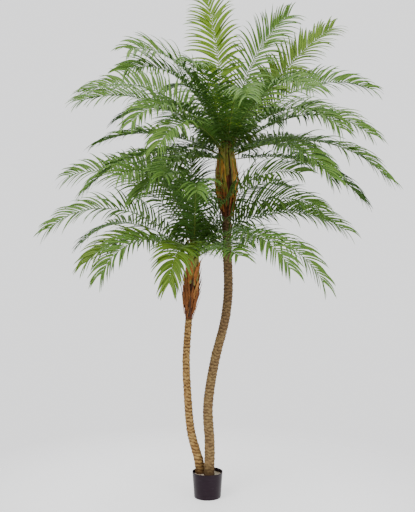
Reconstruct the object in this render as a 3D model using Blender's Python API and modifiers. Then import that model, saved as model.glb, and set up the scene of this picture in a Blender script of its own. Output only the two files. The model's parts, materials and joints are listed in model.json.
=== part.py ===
"""Artificial pygmy date palm: two stems of unlike height in one plain nursery pot.

Metres, +Z up, origin at the centre of the pot's flat underside.
Azimuths are in degrees: 0 is +X, 90 is +Y, away from the front.
"""

import math

import bmesh
import bpy
from mathutils import Matrix, Vector
from mathutils.bvhtree import BVHTree

COLLECTION = "pygmy_date_palm"

# Meshes that touch keep this gap
SEAT = 0.0003

# Pot: a thin tapered nursery pot with a plain, slightly rounded rim
POT_HEIGHT = 0.150
POT_FOOT_RADIUS = 0.0775
POT_RIM_RADIUS = 0.0880
POT_WALL = 0.0024
POT_FLOOR = 0.003
POT_FOOT_ROUND = 0.003
POT_RIM_ROUND = 0.0008
POT_SIDES = 28

# Cement that the stems are cast in
FILL_TOP = 0.129

# Stems: a few points on each centre line, from the cut at the fill to the cut under the husks
STEM_SIDES = 10
STEM_STEP = 0.075
TALL_LINE = (
    (0.009, 0.0, FILL_TOP + SEAT),
    (0.013, 0.0, 0.31),
    (0.003, 0.0, 0.53),
    (0.043, 0.0, 0.80),
    (0.100, 0.0, 1.03),
    (0.119, 0.0, 1.21),
    (0.112, 0.0, 1.43),
    (0.111, 0.0, 1.625),
)
TALL_RADII = (0.0285, 0.0265, 0.0250, 0.0240)
SHORT_LINE = (
    (-0.040, 0.035, FILL_TOP + SEAT),
    (-0.050, 0.035, 0.20),
    (-0.095, 0.033, 0.37),
    (-0.114, 0.030, 0.57),
    (-0.123, 0.028, 0.80),
    (-0.108, 0.024, 1.036),
)
SHORT_RADII = (0.0275, 0.0220, 0.0200, 0.0185)

# Husk sheaths, each one solid with the heart that its fronds spring from:
# height above the stem's cut and radius of each ring, the last few being the heart
SHEATH_SIDES = 12
TALL_SHEATH = ((0.0, 0.030), (0.06, 0.042), (0.12, 0.052), (0.18, 0.059), (0.24, 0.058),
               (0.29, 0.050), (0.325, 0.043), (0.38, 0.036), (0.43, 0.031), (0.475, 0.022))
TALL_TOP = (0.104, 0.0)
TALL_HUSK_ROWS = 5
TALL_HUSK = 0.016
SHORT_SHEATH = ((0.0, 0.020), (0.05, 0.030), (0.10, 0.037), (0.16, 0.041), (0.22, 0.039),
                (0.27, 0.034), (0.31, 0.030), (0.36, 0.026), (0.41, 0.022), (0.455, 0.016))
SHORT_TOP = (-0.072, 0.018)
SHORT_HUSK_ROWS = 4
SHORT_HUSK = 0.015
HUSK_RISE = 0.038

# Fronds: azimuth, rise at the heart, droop from heart to tip, and length.
# The first rows run round the sides; the last ones fill the front and the back.
TALL_FRONDS = (
    (120, 86, 26, 0.98), (226, 66, 88, 0.94), (225, 62, 94, 0.92), (172, 54, 84, 0.98),
    (198, 44, 70, 0.92), (140, 43, 72, 0.95), (235, 40, 86, 0.92), (165, 26, 52, 0.80),
    (245, 30, 80, 0.88), (118, 60, 80, 0.90), (256, 50, 64, 0.92), (32, 79, 46, 0.91),
    (20, 58, 26, 1.00), (46, 56, 62, 0.98), (4, 54, 82, 0.98), (325, 34, 78, 0.96),
    (333, 19, 72, 1.01), (36, 28, 100, 0.95), (55, 22, 60, 0.95),
    (276, 46, 82, 0.90), (300, 50, 84, 0.92), (314, 40, 90, 0.90), (308, 16, 66, 0.88),
    (82, 54, 84, 0.98), (68, 44, 78, 1.02), (96, 36, 76, 1.02), (120, 18, 60, 0.95),
    (226, 6, 66, 0.74), (196, 12, 66, 0.86), (14, 8, 62, 0.90),
)
SHORT_FRONDS = (
    (168, 64, 92, 0.98), (188, 46, 96, 0.95), (259, 26, 94, 0.68), (145, 73, 96, 0.92),
    (122, 80, 98, 0.90), (96, 84, 84, 0.78), (204, 30, 84, 0.70), (290, 18, 34, 0.72),
    (340, 40, 80, 0.98), (322, 28, 92, 0.98), (305, 30, 84, 0.95), (334, 52, 88, 0.88),
    (322, 61, 78, 0.90), (44, 54, 78, 1.00),
    (272, 58, 92, 0.92), (222, 30, 98, 0.74), (84, 52, 88, 0.98), (66, 30, 72, 0.92), (145, 34, 80, 0.95),
    (258, 64, 90, 0.88), (236, 68, 96, 0.88), (12, 44, 82, 0.90),
)
HEART_REACH = 0.145
TALL_HEART = 1.935
SHORT_HEART = 1.350
BEND = 1.4
WALK_STEPS = 80

# Fronds at the sides turn their faces towards the front: degrees for an upright one, and how
# soon that eases off as they lean out
FACING = 80
FACING_EASE = 1.4

# How far a crowded frond may shift on its heart to find a seat: degrees and millimetres
TURN_LIMIT = 20
LIFT_LIMIT = 24

# Rib: half width and half height at the heart and at the tip
RIB_FOOT = (0.0045, 0.0033)
RIB_END = (0.0016, 0.0012)
RIB_LAST_RING = 0.93

# Leaflets: pairs in a shallow V, fewer and wider than life
PAIRS = 8
BARE_PETIOLE = 0.20
LEAF_ROOT = 0.011
LEAF_LENGTH = 0.195
LEAF_WIDTH = 0.022
LEAF_THICKNESS = 0.0024
LEAF_WAIST = 0.42
LEAF_ANGLES = (66, 28)
LEAF_LIFT = 26
LEAF_SAG = 0.5
CLEAR = 0.0008

COLOURS = {
    "pot": ((0.028, 0.020, 0.024), 0.45),
    "fill": ((0.62, 0.58, 0.50), 0.95),
    "tall_stem": ((0.24, 0.17, 0.09), 0.9),
    "short_stem": ((0.38, 0.27, 0.13), 0.9),
    "husk": ((0.36, 0.15, 0.05), 0.95),
    "leaf": ((0.09, 0.22, 0.04), 0.6),
    "young_leaf": ((0.22, 0.33, 0.07), 0.6),
}


def clear_scene():
    """Remove every object that the file opened with."""
    for obj in list(bpy.data.objects):
        bpy.data.objects.remove(obj, do_unlink=True)


def make_collection():
    """The collection that holds the whole plant."""
    collection = bpy.data.collections.new(COLLECTION)
    bpy.context.scene.collection.children.link(collection)
    return collection


def make_material(name):
    """A plain Principled material in the part's colour."""
    colour, roughness = COLOURS[name]
    material = bpy.data.materials.new(name)
    material.use_nodes = True
    shader = material.node_tree.nodes["Principled BSDF"]
    shader.inputs["Base Color"].default_value = (*colour, 1.0)
    shader.inputs["Roughness"].default_value = roughness
    material.diffuse_color = (*colour, 1.0)
    return material


def add_object(collection, name, bm, material, location=(0, 0, 0), smooth_below=None):
    """Turn a bmesh into a named object with one material."""
    if bm.calc_volume(signed=True) < 0:
        bmesh.ops.reverse_faces(bm, faces=bm.faces)
    mesh = bpy.data.meshes.new(name)
    bm.to_mesh(mesh)
    bm.free()
    if smooth_below:
        mesh.shade_smooth()
        mesh.set_sharp_from_angle(angle=math.radians(smooth_below))
    mesh.materials.append(material)
    obj = bpy.data.objects.new(name, mesh)
    obj.location = location
    collection.objects.link(obj)
    return obj


def push(bm, face, move):
    """Extrude one face, move the copy by a matrix and return it."""
    copy = bmesh.ops.extrude_discrete_faces(bm, faces=[face])["faces"][0]
    for vert in copy.verts:
        vert.co = move @ vert.co
    return copy


def side_faces(face):
    """The faces around an end face."""
    return [other for edge in face.edges for other in edge.link_faces if other is not face]


def as_tree(verts, faces):
    """A search tree of a shape, for clash tests."""
    return BVHTree.FromPolygons(verts, faces)


def mesh_tree(bm):
    """A search tree of a bmesh."""
    bm.verts.index_update()
    verts = [vert.co.copy() for vert in bm.verts]
    return as_tree(verts, [[vert.index for vert in face.verts] for face in bm.faces])


def smooth_line(points, height):
    """Point of a smooth line through the given points at one height."""
    last = len(points) - 2
    span = next((i for i in range(last + 1) if height <= points[i + 1][2]), last)
    before, start = points[max(span - 1, 0)], points[span]
    end, after = points[span + 1], points[min(span + 2, last + 1)]
    step = (height - start[2]) / (end[2] - start[2])
    place = []
    for axis in (0, 1):
        rise = end[2] - start[2]
        lean_in = (end[axis] - before[axis]) / (end[2] - before[2]) * rise
        lean_out = (after[axis] - start[axis]) / (after[2] - start[2]) * rise
        place.append(
            (2 * step**3 - 3 * step**2 + 1) * start[axis]
            + (step**3 - 2 * step**2 + step) * lean_in
            + (3 * step**2 - 2 * step**3) * end[axis]
            + (step**3 - step**2) * lean_out
        )
    return Vector((place[0], place[1], height))


def blend(values, step):
    """Value at a share of the way through evenly spaced values."""
    place = step * (len(values) - 1)
    low = min(int(place), len(values) - 2)
    return values[low] + (values[low + 1] - values[low]) * (place - low)


def ring_frame(centre, radius):
    """A level ring's place and size."""
    return Matrix.Translation(centre) @ Matrix.Diagonal((radius, radius, 1.0, 1.0))


def level_stack(frames, sides):
    """A closed solid through level rings, with the side faces of each of its rows."""
    bm = bmesh.new()
    bmesh.ops.create_cone(bm, cap_ends=True, segments=sides, radius1=1, radius2=1, depth=2)
    for vert in bm.verts:
        frame = frames[0] if vert.co.z < 0 else frames[1]
        vert.co = frame @ Vector((vert.co.x, vert.co.y, 0))
    bm.faces.ensure_lookup_table()
    end = max(bm.faces, key=lambda face: face.calc_center_median().z)
    rows = [side_faces(end)]
    for low, high in zip(frames[1:], frames[2:]):
        end = push(bm, end, high @ low.inverted())
        rows.append(side_faces(end))
    return bm, rows


def add_pot(collection):
    """The pot, turned from its profile."""
    profile = (
        (0.0, POT_FLOOR),
        (POT_FOOT_RADIUS - POT_WALL, POT_FLOOR),
        (POT_RIM_RADIUS - POT_WALL, POT_HEIGHT),
        (POT_RIM_RADIUS - POT_RIM_ROUND, POT_HEIGHT),
        (POT_RIM_RADIUS, POT_HEIGHT - POT_RIM_ROUND),
        (POT_FOOT_RADIUS, POT_FOOT_ROUND),
        (POT_FOOT_RADIUS - POT_FOOT_ROUND / 2, 0.0),
        (0.0, 0.0),
    )
    mesh = bpy.data.meshes.new("pot")
    verts = [(radius, 0, height) for radius, height in profile]
    mesh.from_pydata(verts, [(i, i + 1) for i in range(len(verts) - 1)], [])
    mesh.materials.append(make_material("pot"))
    obj = bpy.data.objects.new("pot", mesh)
    collection.objects.link(obj)
    screw = obj.modifiers.new("turn", "SCREW")
    screw.steps = POT_SIDES
    screw.render_steps = POT_SIDES
    screw.use_merge_vertices = True
    screw.merge_threshold = 0.0001
    return obj


def add_fill(collection):
    """The cement, clear of the pot all round."""
    inner_foot = POT_FOOT_RADIUS - POT_WALL
    slope = (POT_RIM_RADIUS - POT_FOOT_RADIUS) / (POT_HEIGHT - POT_FLOOR)
    gap = 1.1 * SEAT
    low = POT_FLOOR + SEAT
    frames = [
        ring_frame((0, 0, height), inner_foot + slope * (height - POT_FLOOR) - gap)
        for height in (low, FILL_TOP)
    ]
    bm, _ = level_stack(frames, POT_SIDES)
    add_object(collection, "pot_fill", bm, make_material("fill"))


def add_stem(collection, name, line, radii):
    """One leaning stem with a level cut at both ends; returns its search tree."""
    foot, top = line[0][2], line[-1][2]
    count = round((top - foot) / STEM_STEP)
    frames = []
    for i in range(count + 1):
        step = i / count
        centre = smooth_line(line, foot + (top - foot) * step)
        frames.append(ring_frame(centre, blend(radii, step)))
    bm, _ = level_stack(frames, STEM_SIDES)
    tree = mesh_tree(bm)
    add_object(collection, name, bm, make_material(name), smooth_below=50)
    return tree


def add_sheath(collection, name, foot, top, profile, husk_rows, husk):
    """Husks and heart as one solid: rows of pointed husks on a turned core."""
    height = profile[-1][0]
    start = Vector(foot) + Vector((0, 0, SEAT))
    end = Vector((*top, foot[2] + height))
    frames = [ring_frame(start.lerp(end, rise / height), radius) for rise, radius in profile]
    bm, rows = level_stack(frames, SHEATH_SIDES)
    for number, faces in enumerate(rows[:husk_rows]):
        for face in faces[number % 2::2]:
            face.normal_update()
            centre = face.calc_center_median()
            tip = centre + face.normal * husk + Vector((0, 0, HUSK_RISE))
            copy = push(bm, face, Matrix.Identity(4))
            bmesh.ops.pointmerge(bm, verts=copy.verts, merge_co=tip)
    tree = mesh_tree(bm)
    add_object(collection, name, bm, MATERIALS["husk"])
    return tree, start, end


def walk_rib(azimuth, rise, droop, length):
    """Points along an arching rib from its root, at even steps."""
    turn = math.radians(azimuth)
    point = Vector((0, 0, 0))
    points = [point]
    for i in range(WALK_STEPS):
        slope = math.radians(rise - droop * ((i + 0.5) / WALK_STEPS) ** BEND)
        step = Vector((math.cos(slope) * math.cos(turn), math.cos(slope) * math.sin(turn), math.sin(slope)))
        point = point + step * length / WALK_STEPS
        points.append(point)
    return points


class Rib:
    """An arching rib: where it runs, which way it faces and how thick it is."""

    def __init__(self, azimuth, rise, droop, length):
        self.rise = rise
        self.droop = droop
        self.length = length
        self.turn = math.radians(azimuth)
        self.level = Vector((-math.sin(self.turn), math.cos(self.turn), 0))
        self.roll = math.radians(FACING) * (rise / 90) ** FACING_EASE * math.cos(self.turn)
        self.points = walk_rib(azimuth, rise, droop, length)

    def at(self, share):
        """Point, forward, side and up directions at a share of the length."""
        place = share * WALK_STEPS
        low = min(int(place), WALK_STEPS - 1)
        point = self.points[low].lerp(self.points[low + 1], place - low)
        slope = math.radians(self.rise - self.droop * share**BEND)
        flat = math.cos(slope)
        forward = Vector((flat * math.cos(self.turn), flat * math.sin(self.turn), math.sin(slope)))
        side = self.level * math.cos(self.roll) + forward.cross(self.level) * math.sin(self.roll)
        return point, forward, side, forward.cross(side)

    def frame(self, share, margin=0.0):
        """Matrix that carries the unit square to the rib's section."""
        point, forward, side, up = self.at(share)
        wide = rib_half_width(share) + margin
        tall = blend((RIB_FOOT[1], RIB_END[1]), share) + margin
        columns = Matrix((side * wide, up * tall, forward)).transposed()
        return Matrix.Translation(point) @ columns.to_4x4()

    def shares(self):
        """Where the rings lie: two to each pair of leaflets."""
        half = LEAF_ROOT / self.length / 2
        rings = [0.0, BARE_PETIOLE / 2]
        for pair in range(PAIRS):
            middle = pair_share(pair)
            rings += [middle - half, middle + half]
        return rings + [RIB_LAST_RING]


def rib_half_width(share):
    """Half the rib's width at a share of its length."""
    return blend((RIB_FOOT[0], RIB_END[0]), share)


def pair_share(pair):
    """Share of the rib at which a pair of leaflets stands."""
    first, last = BARE_PETIOLE, RIB_LAST_RING - 0.03
    return first + (last - first) * (pair + 0.3) / (PAIRS - 0.7)


def rib_tree(rib, root, margin):
    """Search tree of a rib, thicker all round by a margin."""
    verts = []
    faces = [[3, 2, 1, 0]]
    shares = rib.shares()
    for number, share in enumerate(shares + [1.0]):
        frame = rib.frame(share, margin if number < len(shares) else 0.0)
        verts += [root + frame @ Vector((x, y, 0)) for x, y in ((-1, -1), (1, -1), (1, 1), (-1, 1))]
        if number:
            low = 4 * number - 4
            faces += [[low + i, low + (i + 1) % 4, low + 4 + (i + 1) % 4, low + 4 + i] for i in range(4)]
    return as_tree(verts, faces)


def seat_root(rib, axis_point, heart):
    """Slide the root in along its azimuth until it sits on the heart."""
    out = Vector((math.cos(rib.turn), math.sin(rib.turn), 0))
    far, near = 0.09, 0.0
    reach = far
    while reach > near and not rib_tree(rib, axis_point + out * reach, 0.0).overlap(heart):
        far = reach
        reach -= 0.002
    near = reach
    while far - near > SEAT / 6:
        middle = (far + near) / 2
        if rib_tree(rib, axis_point + out * middle, 0.0).overlap(heart):
            near = middle
        else:
            far = middle
    return axis_point + out * (far + SEAT)


def place_rib(row, axis, heart_foot, heart, others):
    """Find a free seat near the wanted one; returns the rib and its root."""
    azimuth, rise, droop, length = row
    start, end = axis
    turns = sorted(range(-TURN_LIMIT, TURN_LIMIT + 1, 4), key=abs)
    lifts = sorted(range(-LIFT_LIMIT, LIFT_LIMIT + 1, 4), key=abs)
    nudges = [(turn, lift) for turn in turns for lift in lifts]
    for turn, lift in nudges:
        rib = Rib(azimuth + turn, rise, droop, length)
        height = heart_foot + HEART_REACH * rise / 90 + lift / 1000
        height = min(height, end.z - 0.014)
        axis_point = start.lerp(end, (height - start.z) / (end.z - start.z))
        root = seat_root(rib, axis_point, heart)
        thick = rib_tree(rib, root, CLEAR)
        if not any(thick.overlap(other) for other in others):
            return rib, root, thick
    raise ValueError(f"no free seat for the frond at azimuth {azimuth}, rise {rise}")


def leaflet(rib, share, hand, scale):
    """Root, waist and tip of one leaflet, with its width and face directions."""
    point, forward, side, up = rib.at(share)
    span = (share - BARE_PETIOLE) / (1 - BARE_PETIOLE)
    angle = math.radians(blend(LEAF_ANGLES, span))
    lift = math.radians(LEAF_LIFT)
    out = side * hand * math.cos(lift) + up * math.sin(lift)
    first = (forward * math.cos(angle) + out * math.sin(angle)).normalized()
    then = (first + Vector((0, 0, -LEAF_SAG))).normalized()
    length = LEAF_LENGTH * (0.5 + 0.5 * math.sin(math.pi * max(span, 0) ** 0.75)) * scale
    waist = point + first * length * LEAF_WAIST
    tip = waist + then * length * (1 - LEAF_WAIST)
    wide = (forward - first * forward.dot(first)).normalized()
    face = wide.cross(first) * hand
    width = LEAF_WIDTH * (0.6 + 0.4 * math.sin(math.pi * max(span, 0) ** 0.75))
    return point, first, waist, tip, wide * width / 2, face * LEAF_THICKNESS / 2


def leaflet_tree(rib, root, share, shape):
    """Search tree of one leaflet beyond its root, thicker all round."""
    point, first, waist, tip, wide, face = shape
    _, forward, _, up = rib.at(share)
    start = root + point + first * rib_half_width(share)
    middle = root + waist
    half = forward * (LEAF_ROOT / 2 + CLEAR)
    thick = up * RIB_FOOT[1]
    wide = wide + wide.normalized() * CLEAR
    face = face + face.normalized() * CLEAR
    verts = [start + half * x + thick * y for x, y in ((-1, -1), (1, -1), (1, 1), (-1, 1))]
    verts += [middle + wide * x + face * y for x, y in ((-1, -1), (1, -1), (1, 1), (-1, 1))]
    verts.append(root + tip + (tip - waist).normalized() * 2 * CLEAR)
    faces = [[3, 2, 1, 0]]
    faces += [[i, (i + 1) % 4, 4 + (i + 1) % 4, 4 + i] for i in range(4)]
    faces += [[4 + i, 4 + (i + 1) % 4, 8] for i in range(4)]
    return as_tree(verts, faces)


def grow_leaflet(bm, root_face, rib, share, shape):
    """Extrude a leaflet from one side face of the rib, to its waist and then to its tip."""
    _, _, waist, tip, wide, face = shape
    _, forward, _, up = rib.at(share)
    centre = root_face.calc_center_median()
    copy = bmesh.ops.extrude_discrete_faces(bm, faces=[root_face])["faces"][0]
    for vert in copy.verts:
        along = math.copysign(1, (vert.co - centre).dot(forward))
        over = math.copysign(1, (vert.co - centre).dot(up))
        vert.co = waist + wide * along + face * over
    end = push(bm, copy, Matrix.Identity(4))
    bmesh.ops.pointmerge(bm, verts=end.verts, merge_co=tip)


def build_frond(rib, root, trees):
    """One frond: a tapering rib with each leaflet that finds room."""
    shares = rib.shares()
    frames = [rib.frame(share) for share in shares]
    bm = bmesh.new()
    bmesh.ops.create_cube(bm, size=2)
    for vert in bm.verts:
        frame = frames[0] if vert.co.z < 0 else frames[1]
        vert.co = frame @ Vector((vert.co.x, vert.co.y, 0))
    _, forward, _, _ = rib.at(shares[1])
    bm.faces.ensure_lookup_table()
    end = max(bm.faces, key=lambda face: face.calc_center_median().dot(forward))
    beds = {}
    for number, (low, high) in enumerate(zip(frames[1:], frames[2:])):
        end = push(bm, end, high @ low.inverted())
        pair, between_pairs = divmod(number - 1, 2)
        if number == 0 or between_pairs:
            continue
        centre = (low.translation + high.translation) / 2
        _, _, side, _ = rib.at(pair_share(pair))
        for face in side_faces(end):
            across = (face.calc_center_median() - centre).dot(side)
            if abs(across) > rib_half_width(shares[-1]) / 2:
                beds[(pair, 1 if across > 0 else -1)] = face
    end = push(bm, end, Matrix.Identity(4))
    bmesh.ops.pointmerge(bm, verts=end.verts, merge_co=rib.at(1.0)[0])
    own = []
    for (pair, hand), face in beds.items():
        for scale in (1.0, 0.75, 0.5):
            shape = leaflet(rib, pair_share(pair), hand, scale)
            tree = leaflet_tree(rib, root, pair_share(pair), shape)
            if not any(tree.overlap(other) for other in trees + own):
                grow_leaflet(bm, face, rib, pair_share(pair), shape)
                own.append(tree)
                break
    return bm, own


def add_fronds(collection, stems, crowns):
    """Seat every rib first, then grow the leaflets in the room that is left."""
    placed = []
    ribs = []
    for crown, rows, axis, heart_foot, heart in crowns:
        blockers = stems + [other[4] for other in crowns if other[4] is not heart]
        for number, row in enumerate(rows, 1):
            rib, root, tree = place_rib(row, axis, heart_foot, heart, blockers + ribs)
            ribs.append(tree)
            placed.append((f"{crown}_frond_{number:02d}", rib, root, tree))
    hearts = [crown[4] for crown in crowns]
    leaves = []
    for name, rib, root, tree in placed:
        trees = stems + hearts + [other for other in ribs if other is not tree] + leaves
        bm, own = build_frond(rib, root, trees)
        leaves += own
        material = MATERIALS["young_leaf" if rib.rise > 55 else "leaf"]
        add_object(collection, name, bm, material, location=root)


def main():
    collection = make_collection()
    add_pot(collection)
    add_fill(collection)
    stems = [
        add_stem(collection, "tall_stem", TALL_LINE, TALL_RADII),
        add_stem(collection, "short_stem", SHORT_LINE, SHORT_RADII),
    ]
    tall, *tall_axis = add_sheath(
        collection, "tall_sheath", TALL_LINE[-1], TALL_TOP, TALL_SHEATH, TALL_HUSK_ROWS, TALL_HUSK
    )
    short, *short_axis = add_sheath(
        collection, "short_sheath", SHORT_LINE[-1], SHORT_TOP, SHORT_SHEATH, SHORT_HUSK_ROWS, SHORT_HUSK
    )
    crowns = (
        ("tall", TALL_FRONDS, tall_axis, TALL_HEART, tall),
        ("short", SHORT_FRONDS, short_axis, SHORT_HEART, short),
    )
    add_fronds(collection, stems, crowns)


clear_scene()
MATERIALS = {name: make_material(name) for name in ("husk", "leaf", "young_leaf")}
main()
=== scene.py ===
"""Looks of the artificial pygmy date palm: leaflets, ribs, bark, husks, pot and a plain studio.

Metres, +Z up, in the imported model's frame, with the front towards -Y.
"""

import json
import math
import random

import bmesh
import bpy
from bpy.props import FloatProperty, FloatVectorProperty, IntProperty, PointerProperty
from mathutils import Matrix, Vector, noise
from mathutils.bvhtree import BVHTree

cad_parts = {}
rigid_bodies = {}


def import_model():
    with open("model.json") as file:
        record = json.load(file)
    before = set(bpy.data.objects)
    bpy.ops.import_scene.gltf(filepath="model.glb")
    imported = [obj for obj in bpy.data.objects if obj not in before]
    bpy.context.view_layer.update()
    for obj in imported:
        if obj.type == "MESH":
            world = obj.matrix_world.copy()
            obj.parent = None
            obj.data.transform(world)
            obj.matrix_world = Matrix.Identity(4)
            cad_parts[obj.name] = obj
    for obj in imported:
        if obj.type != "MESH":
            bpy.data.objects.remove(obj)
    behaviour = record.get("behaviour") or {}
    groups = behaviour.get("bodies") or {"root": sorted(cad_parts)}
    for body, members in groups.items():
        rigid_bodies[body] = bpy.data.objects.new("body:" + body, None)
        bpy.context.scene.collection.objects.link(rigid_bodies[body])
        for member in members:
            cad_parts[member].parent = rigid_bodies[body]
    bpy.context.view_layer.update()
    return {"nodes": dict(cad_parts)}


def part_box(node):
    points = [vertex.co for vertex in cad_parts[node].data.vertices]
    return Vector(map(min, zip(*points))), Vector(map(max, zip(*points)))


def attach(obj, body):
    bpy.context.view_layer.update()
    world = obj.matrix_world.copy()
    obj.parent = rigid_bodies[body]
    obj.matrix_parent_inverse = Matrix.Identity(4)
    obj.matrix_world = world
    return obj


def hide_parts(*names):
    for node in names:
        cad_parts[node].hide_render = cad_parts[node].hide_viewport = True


bl_info = {
    "name": "Artificial Pygmy Date Palm",
    "version": (1, 0, 0),
    "blender": (4, 5, 0),
    "location": "3D View > Sidebar > Palm",
    "description": "Dresses the palm's solids with leaflets, bark, husks, a pot and a plain studio",
    "category": "Add Mesh",
}

TAU = 2 * math.pi
DOWN = Vector((0, 0, -1))
CROWNS = ("tall", "short")
# The leaflets' greens: the spear frond's young green, the middle green, a lighter copy of it with painted
# light for fronds in the light, and a darker copy with painted shade for rear and inner fronds
GREENS = ("young", "bright", "mid", "dark")


def clear_scene():
    """Remove every object that the file opened with."""
    for obj in list(bpy.data.objects):
        bpy.data.objects.remove(obj, do_unlink=True)


clear_scene()
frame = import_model()
NODES = frame["nodes"]

# The fronds in the source's order: rise at the heart and droop from heart to tip in degrees,
# length along the rib, and the frond's green, one of: the spear frond's young green, the middle
# green, a lighter copy with painted light for fronds in the light, and a darker copy with painted
# shade for rear and inner fronds
TALL_FRONDS = (
    (86, 26, 0.98, "young"), (66, 88, 0.94, "mid"), (62, 94, 0.92, "mid"), (54, 84, 0.98, "mid"),
    (44, 70, 0.92, "mid"), (43, 72, 0.95, "dark"), (40, 86, 0.92, "mid"), (26, 52, 0.80, "mid"),
    (30, 80, 0.88, "mid"), (60, 80, 0.90, "dark"), (50, 64, 0.92, "mid"), (79, 46, 0.91, "mid"),
    (58, 26, 1.00, "bright"), (56, 62, 0.98, "mid"), (54, 82, 0.98, "mid"), (34, 78, 0.96, "mid"),
    (19, 72, 1.01, "mid"), (28, 100, 0.95, "dark"), (22, 60, 0.95, "dark"),
    (46, 82, 0.90, "mid"), (50, 84, 0.92, "mid"), (40, 90, 0.90, "mid"), (16, 66, 0.88, "mid"),
    (54, 84, 0.98, "mid"), (44, 78, 1.02, "dark"), (36, 76, 1.02, "dark"), (18, 60, 0.95, "dark"),
    (6, 66, 0.74, "mid"), (12, 66, 0.86, "mid"), (8, 62, 0.90, "dark"),
)
SHORT_FRONDS = (
    (64, 92, 0.98, "mid"), (46, 96, 0.95, "mid"), (26, 94, 0.68, "bright"), (73, 96, 0.92, "mid"),
    (80, 98, 0.90, "dark"), (84, 84, 0.78, "dark"), (30, 84, 0.70, "bright"), (18, 34, 0.72, "mid"),
    (40, 80, 0.98, "mid"), (28, 92, 0.98, "mid"), (30, 84, 0.95, "mid"), (52, 88, 0.88, "mid"),
    (61, 78, 0.90, "mid"), (54, 78, 1.00, "dark"),
    (58, 92, 0.92, "mid"), (30, 98, 0.74, "mid"), (52, 88, 0.98, "dark"), (30, 72, 0.92, "dark"),
    (34, 80, 0.95, "dark"),
    (64, 90, 0.88, "mid"), (68, 96, 0.88, "mid"), (44, 82, 0.90, "dark"),
)
# The source's rule for a frond: how the droop grows along the rib, the bare share of the rib,
# where the solid rib's second ring lies, how many degrees at most a frond turns its face to the
# front, and how that turn grows with its rise
BEND = 1.4
BARE_PETIOLE = 0.20
SECOND_RING = BARE_PETIOLE / 2
FACING = 80
FACING_EASE = 1.4
# The source's rule for a leaflet: lift off the frond's face, and angles to the rib at foot and tip
LEAF_LIFT = 26
LEAF_ANGLES = (66, 28)

# Corners that each ring has in the source, and how far off a heart its fronds' feet can lie
STEM_CORNERS = 10
SHEATH_CORNERS = 12
RIB_RING = 4
HEART_REACH = 0.02


def paint(red, green, blue):
    """A colour picked on a 0 to 255 scale, as the shaders need it."""
    values = (red / 255, green / 255, blue / 255)
    return tuple(v / 12.92 if v < 0.04045 else ((v + 0.055) / 1.055) ** 2.4 for v in values)


def blend(first, last, share):
    """Value at a share of the way between two values."""
    return first + (last - first) * share


def level_out(turn):
    """Level direction at an angle round the Z axis."""
    return Vector((math.cos(turn), math.sin(turn), 0))


def level_across(turn):
    """Level direction a quarter turn further on."""
    return Vector((-math.sin(turn), math.cos(turn), 0))


def colour_property(name, description, default):
    """A colour setting."""
    return FloatVectorProperty(
        name=name, description=description, default=default, size=3, min=0, max=1, subtype="COLOR"
    )


def length_property(name, description, default):
    """A length setting in metres."""
    return FloatProperty(name=name, description=description, default=default, min=0, unit="LENGTH")


def count_property(name, description, default, least, most):
    """A whole-number setting."""
    return IntProperty(name=name, description=description, default=default, min=least, max=most)


def ratio_property(name, description, default):
    """A setting without a unit."""
    return FloatProperty(name=name, description=description, default=default)


def share_property(name, description, default):
    """A share of a whole, from 0 to 1."""
    return FloatProperty(
        name=name, description=description, default=default, min=0, max=1, subtype="FACTOR"
    )


class FrondSettings(bpy.types.PropertyGroup):
    """Sizes and greens of the fronds."""

    tall_pairs: count_property("Tall pairs", "Pairs of leaflets on a tall frond", 57, 4, 60)
    short_pairs: count_property("Short pairs", "Pairs of leaflets on a short frond", 46, 4, 60)
    bends: count_property("Bends", "Rows of faces along a leaflet", 8, 3, 16)
    first: share_property("First pair", "Where the leaflets begin on the rib", 0.05)
    last: share_property("Last pair", "Where the leaflets end on the rib", 0.935)
    early: ratio_property("Early leaflets", "Length of a frond's first leaflets against the rule", 1.7)
    leaf_length: length_property("Leaflet length", "Longest leaflet", 0.200)
    leaf_width: length_property("Leaflet width", "Widest leaflet", 0.0127)
    young_width: ratio_property("Young width", "Width of young and bright leaflets against others", 1.22)
    fold: ratio_property("Fold", "Depth of a leaflet's V against its half width", 0.28)
    sag: ratio_property("Sag", "How far a leaflet's tip hangs over", 0.92)
    young: colour_property("Young green", "Spear frond", paint(90, 124, 22))
    # Painted light: a lighter copy of the middle green for the fronds that stand in the light
    bright: colour_property("Bright green", "Fronds in the light", paint(82, 114, 32))
    mid: colour_property("Middle green", "Most fronds", paint(72, 110, 42))
    # Painted shade: a darker copy of the middle green for the rear and inner fronds
    dark: colour_property("Dark green", "Rear and inner fronds", paint(56, 92, 24))
    rib: colour_property("Rib", "Rib of a grown frond", paint(104, 122, 40))
    young_rib: colour_property("Young rib", "Rib of the spear frond", paint(150, 138, 96))
    petiole: colour_property("Petiole foot", "Clasping foot of each frond", paint(134, 126, 42))


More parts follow.
